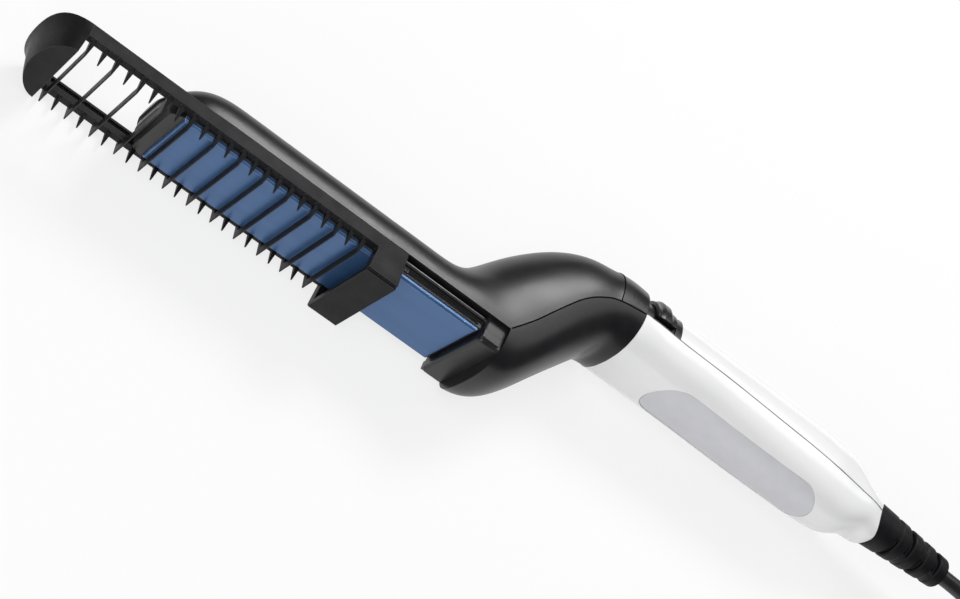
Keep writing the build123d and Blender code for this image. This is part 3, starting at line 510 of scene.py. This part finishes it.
def seam_strip(name, surface, rays, width, finish):
    """A closed strip along the points where rays, given as start and target, meet a surface.

    A ray can slip into the gap between two mouldings, so its neighbours are cast too and the nearest
    strike counts.
    """
    places = []
    for start, target in rays:
        toward = (target - start).normalized()
        strikes = [surface.ray_cast(start + nudge, toward) for nudge in nudges]
        distance, normal = min((strike[3], strike[1]) for strike in strikes if strike[0] is not None)
        places.append((start + toward * distance, normal if normal.dot(toward) < 0 else -normal))
    rings = []
    for k, (place, normal) in enumerate(places):
        along = places[min(k + 1, len(places) - 1)][0] - places[max(k - 1, 0)][0]
        across = along.cross(normal).normalized() * width / 2
        top, bottom = normal * strip_proud, -normal * strip_sunk
        offsets = (across + top, across + bottom, bottom - across, top - across)
        rings.append([place + offset for offset in offsets])
    lofted(name, rings, finish)
    return len(places)


def smooth_path(corners, steps):
    """Points on a smooth curve through (x, y) corners, with some steps to each span."""
    ends = [corners[0], *corners, corners[-1]]
    points = []
    for quad in zip(ends, ends[1:], ends[2:], ends[3:]):
        before, start, end, after = (Vector(corner) for corner in quad)
        first, second = end - before, 2 * before - 5 * start + 4 * end - after
        third = 3 * (start - end) + after - before
        for step in range(steps):
            t = step / steps
            points.append(start + 0.5 * t * (first + t * (second + t * third)))
    return points + [Vector(corners[-1])]


def side_rays(points, side):
    """Rays from beside the part straight at its middle plane."""
    return [(to_model(x, y, side * side_far), to_model(x, y, 0.0)) for x, y in points]


neck_seam = smooth_path([(137.6, 8.2), (143.71, 15.6), (150.01, 24.6), (155.88, 32.3), (161.79, 37.2),
                         (167.5, 39.9), (177.0, handle_seam_y)], 16)
handle_seam = smooth_path([(x, handle_seam_y) for x in (177.0, 195.0, 220.0, 245.0, 265.0, 275.0, 286.8)], 6)
neck_surface = surface_of("upper_shell", "neck_lower_shell", "switch_bezel")
handle_surface = surface_of("handle_upper_shell", "handle_lower_shell")
counts = []
for side, side_name in ((1, "left"), (-1, "right")):
    neck_rays = side_rays(neck_seam[1:-1], side)
    handle_rays = side_rays(handle_seam[1:-1], side)
    counts.append(seam_strip("neck_seam_" + side_name, neck_surface, neck_rays, neck_line, seam_dark))
    counts.append(seam_strip("handle_seam_" + side_name, handle_surface, handle_rays, handle_line, seam_grey))
bezel_middle = to_model(167.4, 44.0, 0.0)
bezel_reach = math.radians(104)
bezel_steps = 40
bezel_rays = []
for step in range(bezel_steps + 1):
    turned = bezel_reach * (2 * step / bezel_steps - 1)
    away = Vector((0.0, math.cos(turned), math.sin(turned))) * bezel_far
    bezel_rays.append((bezel_middle + away, bezel_middle))
counts.append(seam_strip("bezel_seam", neck_surface, bezel_rays, bezel_line, seam_dark))
print("seam points", counts)

# %% [markdown]
# ## Guide ridge and detent
# The comb slides on a ridge along each side of the tray. A slim light-grey bead on its upper edge is a
# painted highlight, the bright line that edge catches, and a ribbed detent pad next to it holds the comb
# in place. Both stay inside the comb's groove, so the comb passes them freely. They are extruded from
# ring to ring, as the seams are.

# %% Ridge beads and detent pads
# The bead's light grey is a painted highlight, the bright line along the ridge's upper edge.
ridge_painted_highlight = new_finish("ridge_painted_highlight", (0.60, 0.60, 0.61), 0.25)
vary_colour(ridge_painted_highlight, 0.003, (0.55, 0.55, 0.56), (0.70, 0.70, 0.71), (0.2, 1.0, 1.0))
vary_roughness(ridge_painted_highlight, 0.002, 0.2, 0.35)
detent_grey = plain("detent_grey", (0.06, 0.06, 0.063), (0.08, 0.08, 0.083), 0.002, 0.35, 0.5)

bead_radius = 0.16
bead_sides = 12
bead_y, bead_z = 7.1, 14.5
bead_stations = (38.0, 60.0, 90.0, 110.0, 129.7)
pad_x, pad_floor, pad_top = 101.9, 13.2, 13.62
pad_levels = (4.9, 5.7, 6.3)
rib_count = 3
rib_pitch = 0.85
rib_outline = ((0.0, -0.12), (0.12, 0.0), (0.5, 0.0), (0.62, -0.2))
pad_foot = 0.1
bead_turns = [math.tau * k / bead_sides for k in range(bead_sides)]
for side, side_name in ((1, "left"), (-1, "right")):
    outline = [(bead_y + bead_radius * math.sin(turn), side * (bead_z + bead_radius * math.cos(turn)))
               for turn in bead_turns]
    beads = [[to_model(x, y, z) for y, z in outline] for x in bead_stations]
    lofted("ridge_bead_" + side_name, beads, ridge_painted_highlight, smooth=True)
    profile = [(pad_x, pad_floor)]
    for rib in range(rib_count):
        profile += [(pad_x + rib * rib_pitch + along, pad_top + rise) for along, rise in rib_outline]
    profile += [(profile[-1][0] + pad_foot, pad_floor)]
    pads = [[to_model(x, y, side * out) for x, out in profile] for y in pad_levels]
    lofted("detent_pad_" + side_name, pads, detent_grey)
print("ridges and detents made")

# %% [markdown]
# ## Floor and light
# The floor is a pale sheet that runs far behind the comb. The light is a studio's: one large soft box
# over the comb, one low and wide from the camera's side, and a smaller one behind that draws the soft
# highlight on the black shoulder of the neck, with a weak one beside it. The floor shows itself a
# little brighter to the camera and to mirrors, so it reads as white without more light falling on
# the comb.

# %% Floor
floor_reach = 6.0
white_share = 0.75
floor_mesh = bpy.data.meshes.new("floor")
floor_shape = bmesh.new()
bmesh.ops.create_grid(floor_shape, x_segments=1, y_segments=1, size=floor_reach)
floor_shape.to_mesh(floor_mesh)
floor_shape.free()
floor = bpy.data.objects.new("floor", floor_mesh)
bpy.context.scene.collection.objects.link(floor)

floor_paper = new_finish("floor_paper", (0.86, 0.86, 0.86), 0.9, specular=0.2)
paper_tree = floor_paper.node_tree
paper_glow = add_node(floor_paper, "ShaderNodeEmission", Color=(1.0, 1.0, 1.0, 1.0), Strength=1.0)
paper_mix = add_node(floor_paper, "ShaderNodeMixShader")
ray = add_node(floor_paper, "ShaderNodeLightPath")
seen = add_node(floor_paper, "ShaderNodeMath", operation="MAXIMUM")
seen_too = add_node(floor_paper, "ShaderNodeMath", operation="MAXIMUM")
share = add_node(floor_paper, "ShaderNodeMath", operation="MULTIPLY")
share.inputs[1].default_value = white_share
join(floor_paper, ray.outputs["Is Camera Ray"], seen.inputs[0])
join(floor_paper, ray.outputs["Is Glossy Ray"], seen.inputs[1])
join(floor_paper, seen.outputs["Value"], seen_too.inputs[0])
join(floor_paper, ray.outputs["Is Transmission Ray"], seen_too.inputs[1])
join(floor_paper, seen_too.outputs["Value"], share.inputs[0])
join(floor_paper, share.outputs["Value"], paper_mix.inputs[0])
join(floor_paper, paper_tree.nodes["Principled BSDF"].outputs["BSDF"], paper_mix.inputs[1])
join(floor_paper, paper_glow.outputs["Emission"], paper_mix.inputs[2])
join(floor_paper, paper_mix.outputs["Shader"], paper_tree.nodes["Material Output"].inputs["Surface"])
dress(floor, floor_paper)
print("floor laid")


# %% Lamps and sky
def soft_box(name, place, width, depth, power):
    """A rectangular lamp at a place, turned to shine at the middle of the comb, which is the origin."""
    data = bpy.data.lights.new(name, "AREA")
    data.shape = "RECTANGLE"
    data.size = width
    data.size_y = depth
    data.energy = power
    lamp = bpy.data.objects.new(name, data)
    lamp.location = place
    lamp.rotation_euler = (-Vector(place)).to_track_quat("-Z", "Y").to_euler()
    bpy.context.scene.collection.objects.link(lamp)


soft_box("shoulder", (0.135, 0.766, 0.778), 0.44, 0.32, 7.3)
soft_box("side", (0.639, 0.536, 0.863), 0.6, 0.6, 2.2)
soft_box("over", (-0.30, -0.30, 1.05), 0.9, 0.9, 4.5)
soft_box("front", (-0.45, -0.85, 0.55), 0.9, 0.6, 5.0)

world = bpy.data.worlds.new("studio")
bpy.context.scene.world = world
world.use_nodes = True
world.node_tree.nodes["Background"].inputs["Color"].default_value = (0.95, 0.97, 1.0, 1.0)
world.node_tree.nodes["Background"].inputs["Strength"].default_value = 0.12
bpy.context.scene.view_settings.view_transform = "Standard"
print("studio lit")
